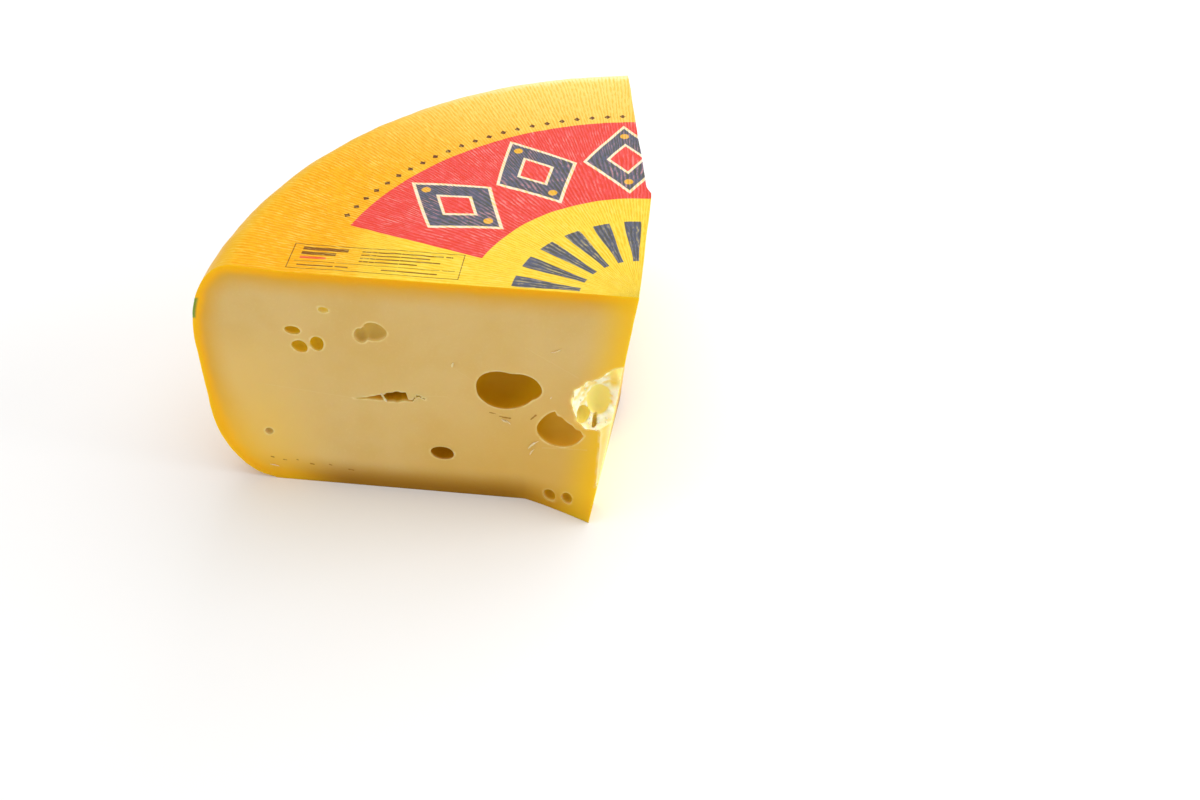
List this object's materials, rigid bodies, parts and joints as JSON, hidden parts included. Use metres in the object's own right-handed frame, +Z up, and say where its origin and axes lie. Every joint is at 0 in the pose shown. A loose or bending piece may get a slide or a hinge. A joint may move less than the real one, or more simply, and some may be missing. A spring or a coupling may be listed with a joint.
{
  "type": "swiss cheese quarter wheel",
  "caption": "Quarter of a round of semi-hard cheese, cut with a knife, with eyes, a split and a torn corner in its paste and a printed rind.",
  "frame": {"origin": "middle of the bounding box at the level of the flat base", "axes": "+Z up through the round's thickness; the front cut faces -Y, the right cut faces +X and the rind curves round the -X and +Y side"},
  "size_m": [0.1648, 0.1732, 0.1056],
  "materials": {
    "cheese": "satin"
  },
  "bodies": {
    "root": {"cheese": "cheese"}
  },
  "joints": []
}
